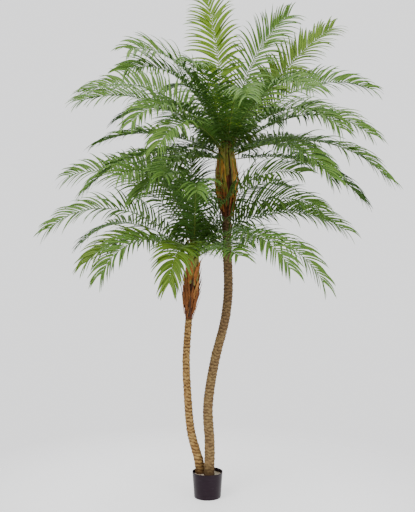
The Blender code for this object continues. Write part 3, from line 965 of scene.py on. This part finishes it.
class Finish:
    """A Principled material under construction."""

    def __init__(self, name, roughness, specular=0.5):
        self.material = bpy.data.materials.new(name)
        self.material.use_nodes = True
        self.tree = self.material.node_tree
        self.shader = self.tree.nodes["Principled BSDF"]
        self.shader.inputs["Roughness"].default_value = roughness
        self.shader.inputs["Specular IOR Level"].default_value = specular
        self.place = self.tree.nodes.new("ShaderNodeTexCoord")

    def mask(self, group, source, scale, detail=4.0, low=0.35, high=0.65):
        """A mask from a shared group."""
        node = self.tree.nodes.new("ShaderNodeGroup")
        node.node_tree = Palette.get(group)
        for label, value in zip(MASK_INPUTS, (scale, detail, low, high)):
            node.inputs[label].default_value = value
        wire(self.tree, self.place.outputs[source], node.inputs["Vector"])
        return node.outputs["Mask"]

    def attribute(self, name):
        """A value that the mesh carries."""
        node = self.tree.nodes.new("ShaderNodeAttribute")
        node.attribute_name = name
        return node.outputs["Fac"]

    def mix(self, factor, first, second):
        """One colour over another; a colour is three values or a socket."""
        node = self.tree.nodes.new("ShaderNodeMix")
        node.data_type = "RGBA"
        wire(self.tree, factor, node.inputs["Factor"])
        for label, value in (("A", first), ("B", second)):
            socket = next(s for s in node.inputs if s.name == label and s.type == "RGBA")
            if isinstance(value, bpy.types.NodeSocket):
                wire(self.tree, value, socket)
            else:
                socket.default_value = (*value, 1.0)
        return next(s for s in node.outputs if s.type == "RGBA")

    def curve(self, value, low, high, first=0.0, last=1.0):
        """A value stretched from one range to another."""
        node = self.tree.nodes.new("ShaderNodeMapRange")
        wire(self.tree, value, node.inputs["Value"])
        ends = {"From Min": low, "From Max": high, "To Min": first, "To Max": last}
        for label, end in ends.items():
            node.inputs[label].default_value = end
        return node.outputs["Result"]

    def over(self, mask, strength, first, second):
        """The second colour over the first where the mask is, with a strength."""
        return self.mix(self.curve(mask, 0, 1, 0, strength), first, second)

    def bump(self, height, distance, strength):
        """Feed a height into the normal; called again, the bumps add up."""
        node = self.tree.nodes.new("ShaderNodeBump")
        node.inputs["Strength"].default_value = strength
        node.inputs["Distance"].default_value = distance
        wire(self.tree, height, node.inputs["Height"])
        before = self.shader.inputs["Normal"]
        if before.is_linked:
            wire(self.tree, before.links[0].from_socket, node.inputs["Normal"])
        wire(self.tree, node.outputs["Normal"], before)

    def colour(self, source):
        """Link the base colour."""
        wire(self.tree, source, self.shader.inputs["Base Color"])

    def roughness(self, mask, first, last):
        """Roughness that goes with a mask from one value to another."""
        wire(self.tree, self.curve(mask, 0, 1, first, last), self.shader.inputs["Roughness"])


def tinted(colour, factor):
    """A lighter or darker colour."""
    return tuple(min(c * factor, 1.0) for c in colour)


def toned(first, second, share):
    """A colour between two."""
    return tuple(blend(a, b, share) for a, b in zip(first, second))


class Palette:
    """Shared shader groups, built once."""

    groups = {}

    @classmethod
    def get(cls, name):
        """A shared group by name."""
        if name not in cls.groups:
            cls.groups[name] = noise_group(name, STRETCHES[name])
        return cls.groups[name]


# Colour of a leaflet's fold, and how much of it shows
FOLD_COLOUR = paint(186, 204, 84)
FOLD_SHARE = 0.18


def leaf_material(name, colour, pale=False):
    """Moulded leaf: fine veins, slightly uneven green and a soft sheen."""
    finish = Finish(name, 0.5, specular=0.22)
    base = toned(colour, FOLD_COLOUR, FOLD_SHARE) if pale else colour
    veins = finish.mask("veins", "UV", 26.0, 3.0)
    patch = finish.mask("grain", "Object", 9.0, 3.0)
    streaked = finish.mix(veins, tinted(base, 0.86), tinted(base, 1.12))
    warm = (base[0] * 1.22, base[1] * 1.05, base[2] * 0.8)
    finish.colour(finish.over(patch, 0.45, streaked, warm))
    finish.roughness(patch, 0.44, 0.58)
    finish.bump(veins, 0.0002, 0.5)
    return finish.material


def rib_material(name, colour):
    """Moulded rib with lengthwise streaks."""
    finish = Finish(name, 0.45)
    grain = finish.mask("grain", "Object", 60.0)
    patch = finish.mask("grain", "Object", 7.0, 2.0)
    base = finish.mix(grain, tinted(colour, 0.8), tinted(colour, 1.15))
    finish.colour(finish.over(patch, 0.35, base, tinted(colour, 0.7)))
    finish.roughness(grain, 0.38, 0.56)
    finish.bump(grain, 0.0004, 0.4)
    return finish.material


# Heights between which bark turns from new to aged, and from darker at its foot to its usual colour
AGED_HEIGHTS = (0.6, 1.4)
FOOT_DARK_HEIGHTS = (0.13, 0.20)


def bark_material(name, light, warm, gap, aged, depth):
    """Bark: raised scars, painted shade in the gaps between them, broad patches and fine fibrous grain."""
    finish = Finish(name, 0.85, specular=0.25)
    patch = finish.mask("grain", "Object", 16.0, 3.0, 0.38, 0.62)
    rings = finish.mask("rings", "Object", 130.0, 3.0, 0.3, 0.7)
    grain = finish.mask("grain", "Object", 420.0, 5.0, 0.3, 0.7)
    base = finish.over(patch, 0.85, light, warm)
    base = finish.over(rings, 0.4, base, tinted(warm, 0.8))
    base = finish.over(grain, 0.35, base, tinted(light, 1.25))
    split = finish.tree.nodes.new("ShaderNodeSeparateXYZ")
    wire(finish.tree, finish.place.outputs["Object"], split.inputs["Vector"])
    height = split.outputs["Z"]
    base = finish.mix(finish.curve(height, *AGED_HEIGHTS, 0.0, 0.55), base, aged)
    # Darker towards the stem's foot, just above the cement
    base = finish.mix(finish.curve(height, *FOOT_DARK_HEIGHTS, 0.95, 0.0), base, tinted(gap, 0.6))
    relief = finish.attribute("relief")
    # Painted shade: where the relief is low, in the gaps between the scars, the colour turns to the darker
    # gap colour
    finish.colour(finish.mix(finish.curve(relief, 0.05, 0.5, depth, 0.0), base, gap))
    finish.roughness(grain, 0.72, 0.95)
    finish.bump(grain, 0.0012, 0.6)
    finish.bump(rings, 0.0016, 0.5)
    return finish.material


def husk_material(name, colour):
    """Dry husk: long fibres whose paler ridges and darker hollows are partly their own tone and partly
    painted highlight and painted shade.
    """
    finish = Finish(name, 0.8, specular=0.25)
    strands = finish.mask("strands", "Object", 260.0, 4.0, 0.32, 0.68)
    patch = finish.mask("grain", "Object", 22.0, 3.0)
    # The fibres' colour follows their bumps: partly their own tone, and partly painted highlight on the
    # ridges and painted shade in the hollows
    fibres = finish.mix(strands, tinted(colour, 0.5), tinted(colour, 1.3))
    finish.colour(finish.over(patch, 0.45, fibres, tinted(colour, 0.62)))
    finish.roughness(strands, 0.9, 0.68)
    finish.bump(strands, 0.0012, 0.8)
    return finish.material


def plastic_material(settings):
    """Pot plastic: nearly black, faint moulding ripple, dust and handling marks."""
    finish = Finish("pot_plastic", 0.40, specular=0.18)
    ripple = finish.mask("grain", "Object", 34.0, 3.0)
    marks = finish.mask("rings", "Object", 90.0, 5.0, 0.52, 0.78)
    base = finish.over(ripple, 0.5, settings.plastic, tinted(settings.plastic, 0.75))
    finish.colour(finish.over(marks, 0.14, base, paint(80, 72, 80)))
    finish.roughness(marks, 0.34, 0.48)
    finish.bump(ripple, 0.0004, 0.25)
    return finish.material


def cement_material(settings):
    """Dry cement: pale skin with grit, pores and damp marks."""
    finish = Finish("cement", 0.92, specular=0.2)
    grit = finish.mask("grain", "Object", 700.0, 5.0, 0.3, 0.7)
    marks = finish.mask("grain", "Object", 45.0, 4.0, 0.45, 0.7)
    base = finish.mix(grit, tinted(settings.cement, 0.86), tinted(settings.cement, 1.08))
    finish.colour(finish.over(marks, 0.6, base, settings.stain))
    finish.roughness(grit, 0.85, 0.98)
    finish.bump(grit, 0.0008, 0.5)
    return finish.material


# How far out the floor begins to melt away and where it has gone, and how much it shines by itself
FLOOR_FADE = (0.75, 1.7)
FLOOR_GLOW = 0.75


def floor_material(settings):
    """Plain pale floor with the faintest mottle, which melts into the surroundings further out."""
    finish = Finish("studio_floor", 0.5, specular=0.3)
    mottle = finish.mask("grain", "Object", 3.0, 2.0)
    finish.colour(finish.mix(mottle, tinted(settings.floor, 0.985), settings.floor))
    finish.roughness(mottle, 0.42, 0.5)
    finish.shader.inputs["Emission Color"].default_value = (1, 1, 1, 1)
    finish.shader.inputs["Emission Strength"].default_value = FLOOR_GLOW
    tree = finish.tree
    reach = tree.nodes.new("ShaderNodeVectorMath")
    reach.operation = "LENGTH"
    wire(tree, finish.place.outputs["Object"], reach.inputs[0])
    clear = tree.nodes.new("ShaderNodeBsdfTransparent")
    both = tree.nodes.new("ShaderNodeMixShader")
    wire(tree, finish.curve(reach.outputs["Value"], *FLOOR_FADE), both.inputs["Fac"])
    wire(tree, finish.shader.outputs["BSDF"], both.inputs[1])
    wire(tree, clear.outputs["BSDF"], both.inputs[2])
    wire(tree, both.outputs["Shader"], tree.nodes["Material Output"].inputs["Surface"])
    return finish.material


# Stage


# Where the lamps point, and each one's name, place, width and power
LAMP_AIM = (0.0, 0.0, 1.7)
LAMPS = (
    ("key", (-2.4, -3.0, 5.2), 3.0, 190),
    ("fill", (3.2, -3.4, 1.6), 3.0, 90),
    ("top", (0.2, 0.6, 6.0), 3.5, 130),
)
# Width of the camera's sensor in millimetres, and of the picture's longer side in pixels
SENSOR = 36
LONGER_SIDE = 512


def studio_world(settings):
    """Even surroundings: one brightness to look at, another to light with."""
    world = bpy.data.worlds.new("studio")
    world.use_nodes = True
    tree = world.node_tree
    seen = tree.nodes["Background"]
    lit = tree.nodes.new("ShaderNodeBackground")
    for node, strength in ((seen, settings.backdrop), (lit, settings.ambient)):
        node.inputs["Color"].default_value = (*settings.wall, 1)
        node.inputs["Strength"].default_value = strength
    rays = tree.nodes.new("ShaderNodeLightPath")
    both = tree.nodes.new("ShaderNodeMixShader")
    wire(tree, rays.outputs["Is Camera Ray"], both.inputs["Fac"])
    wire(tree, lit.outputs["Background"], both.inputs[1])
    wire(tree, seen.outputs["Background"], both.inputs[2])
    wire(tree, both.outputs["Shader"], tree.nodes["World Output"].inputs["Surface"])
    return world


# Operators


class PALM_OT_stems(bpy.types.Operator):
    """Make both stems with the relief of their leaf scars"""

    bl_idname = "palm.stems"
    bl_label = "Stems"

    def execute(self, context):
        settings = context.scene.palm_stems
        for crown in CROWNS:
            colours = [getattr(settings, f"{crown}_{key}") for key in ("light", "warm", "gap", "aged")]
            bark = bark_material(f"{crown}_bark", *colours, SCARS[crown]["gap"])
            stem = build_stem(crown, settings)
            finish_piece(f"{crown}_stem_bark", stem, [bark], [f"{crown}_stem"], 80)
        return {"FINISHED"}


class PALM_OT_sheaths(bpy.types.Operator):
    """Make the husk sheaths: core, husks and loose fibres"""

    bl_idname = "palm.sheaths"
    bl_label = "Husk sheaths"

    def execute(self, context):
        settings = context.scene.palm_sheaths
        tip = husk_material("husk_tip", settings.tip)
        shades = []
        for name in HUSK_SHADES:
            shades += [husk_material(f"husk_{name}", getattr(settings, name)), tip]
        dried = husk_template()
        fresh = blade_template(HUSK_SECTION, HUSK_ROWS)
        thin = blade_template(FIBRE_SECTION, FIBRE_ROWS)
        for crown in CROWNS:
            solid = [f"{crown}_sheath"]
            # The core takes the dark tip material, partly as painted shade in the gaps between the husks
            finish_piece(f"{crown}_sheath_core", build_core(crown), [tip], solid, 80)
            husks = lay_blades(dried, husk_blades(crown, getattr(settings, f"{crown}_husks")))
            join(husks, lay_blades(fresh, bud_blades(crown)))
            finish_piece(f"{crown}_sheath_husks", husks, shades, solid)
            fibres = lay_blades(thin, fibre_blades(crown, settings.fibres))
            finish_piece(f"{crown}_sheath_fibres", fibres, [shades[husk_offset("tan")]], solid)
        for template in (dried, fresh, thin):
            bpy.data.meshes.remove(template)
        return {"FINISHED"}


class PALM_OT_ribs(bpy.types.Operator):
    """Make every frond's rib and its clasping foot"""

    bl_idname = "palm.ribs"
    bl_label = "Ribs"

    def execute(self, context):
        settings = context.scene.palm_fronds
        grown = rib_material("rib_grown", settings.rib)
        young = rib_material("rib_young", settings.young_rib)
        foot = rib_material("petiole_foot", settings.petiole)
        strap = blade_template(HUSK_SECTION, HUSK_ROWS)
        for crown in CROWNS:
            names = frond_names(crown)
            joined = bmesh.new()
            for name in names:
                bm = build_rib(RIBS[name])
                if RIBS[name].green == "young":
                    for face in bm.faces:
                        face.material_index = face.material_index or 2
                join(joined, bm)
            finish_piece(f"{crown}_ribs", joined, [grown, foot, young], names)
            feet = lay_blades(strap, clasp_blades(crown))
            finish_piece(f"{crown}_petiole_feet", feet, [foot], names)
        bpy.data.meshes.remove(strap)
        return {"FINISHED"}


class PALM_OT_leaflets(bpy.types.Operator):
    """Grow every leaflet, one piece for each crown and green"""

    bl_idname = "palm.leaflets"
    bl_label = "Leaflets"

    def execute(self, context):
        settings = context.scene.palm_fronds
        trees = [node_tree(f"{crown}_{kind}") for crown in CROWNS for kind in ("stem", "sheath")]
        template = blade_template(LEAF_SECTION, settings.bends, accents=(LEAF_FOLD,))
        for crown in CROWNS:
            pairs = getattr(settings, f"{crown}_pairs")
            for green in GREENS:
                names = frond_names(crown, (green,))
                if not names:
                    continue
                joined = bmesh.new()
                for name in names:
                    join(joined, lay_blades(template, leaflet_blades(name, pairs, trees, settings)))
                # Two of the greens are lit and shaded copies of one leaf colour: painted light and painted
                # shade
                colour = getattr(settings, green)
                key = f"{crown}_leaf_{green}"
                shades = [leaf_material(key, colour), leaf_material(f"{key}_fold", colour, pale=True)]
                finish_piece(f"{crown}_leaflets_{green}", joined, shades, names)
        bpy.data.meshes.remove(template)
        return {"FINISHED"}


class PALM_OT_pot(bpy.types.Operator):
    """Make the nursery pot and the cement in it"""

    bl_idname = "palm.pot"
    bl_label = "Pot and fill"

    def execute(self, context):
        settings = context.scene.palm_pot
        plastic, cement = plastic_material(settings), cement_material(settings)
        finish_piece("nursery_pot", build_pot(settings), [plastic], ["pot"], 50)
        finish_piece("cement_fill", build_fill(), [cement], ["pot_fill"], 50)
        return {"FINISHED"}


class PALM_OT_stage(bpy.types.Operator):
    """Set up the pale floor, the soft light and the camera"""

    bl_idname = "palm.stage"
    bl_label = "Stage"

    def execute(self, context):
        settings = context.scene.palm_stage
        scene = context.scene
        bm = bmesh.new()
        bmesh.ops.create_grid(bm, x_segments=8, y_segments=8, size=settings.floor_size / 2)
        mesh = bpy.data.meshes.new("studio_floor")
        bm.to_mesh(mesh)
        bm.free()
        mesh.materials.append(floor_material(settings))
        floor = bpy.data.objects.new("studio_floor", mesh)
        scene.collection.objects.link(floor)

        scene.world = studio_world(settings)

        for name, place, size, power in LAMPS:
            lamp = bpy.data.lights.new(name, "AREA")
            lamp.shape = "DISK"
            lamp.size = size
            lamp.energy = power
            obj = bpy.data.objects.new(name, lamp)
            obj.location = place
            obj.rotation_euler = (Vector(LAMP_AIM) - Vector(place)).to_track_quat("-Z", "Y").to_euler()
            scene.collection.objects.link(obj)

        lens = bpy.data.cameras.new("camera")
        lens.sensor_width = SENSOR
        lens.lens = settings.focal * SENSOR / LONGER_SIDE
        camera = bpy.data.objects.new("camera", lens)
        camera.location = (0, -settings.distance, settings.height)
        camera.rotation_euler = (math.pi / 2 - settings.tilt, 0, 0)
        scene.collection.objects.link(camera)
        scene.camera = camera
        return {"FINISHED"}


class PALM_PT_pieces(bpy.types.Panel):
    """Every step of the palm, in order"""

    bl_idname = "PALM_PT_pieces"
    bl_label = "Pygmy Date Palm"
    bl_space_type = "VIEW_3D"
    bl_region_type = "UI"
    bl_category = "Palm"

    def draw(self, context):
        for step in STEPS:
            self.layout.operator(step.bl_idname)


SETTINGS = {
    "palm_fronds": FrondSettings,
    "palm_stems": StemSettings,
    "palm_sheaths": SheathSettings,
    "palm_pot": PotSettings,
    "palm_stage": StageSettings,
}
STEPS = (PALM_OT_stage, PALM_OT_pot, PALM_OT_stems, PALM_OT_sheaths, PALM_OT_ribs, PALM_OT_leaflets)


def register():
    """Register the settings, the operators and the panel."""
    for cls in (*SETTINGS.values(), *STEPS, PALM_PT_pieces):
        bpy.utils.register_class(cls)
    for name, cls in SETTINGS.items():
        setattr(bpy.types.Scene, name, PointerProperty(type=cls))


def unregister():
    """Take everything out again."""
    for name in SETTINGS:
        delattr(bpy.types.Scene, name)
    for cls in (PALM_PT_pieces, *reversed(STEPS), *reversed(SETTINGS.values())):
        bpy.utils.unregister_class(cls)


def main():
    """Make every piece in order."""
    register()
    for step in STEPS:
        group, name = step.bl_idname.split(".")
        getattr(getattr(bpy.ops, group), name)()


if __name__ == "__main__":
    main()
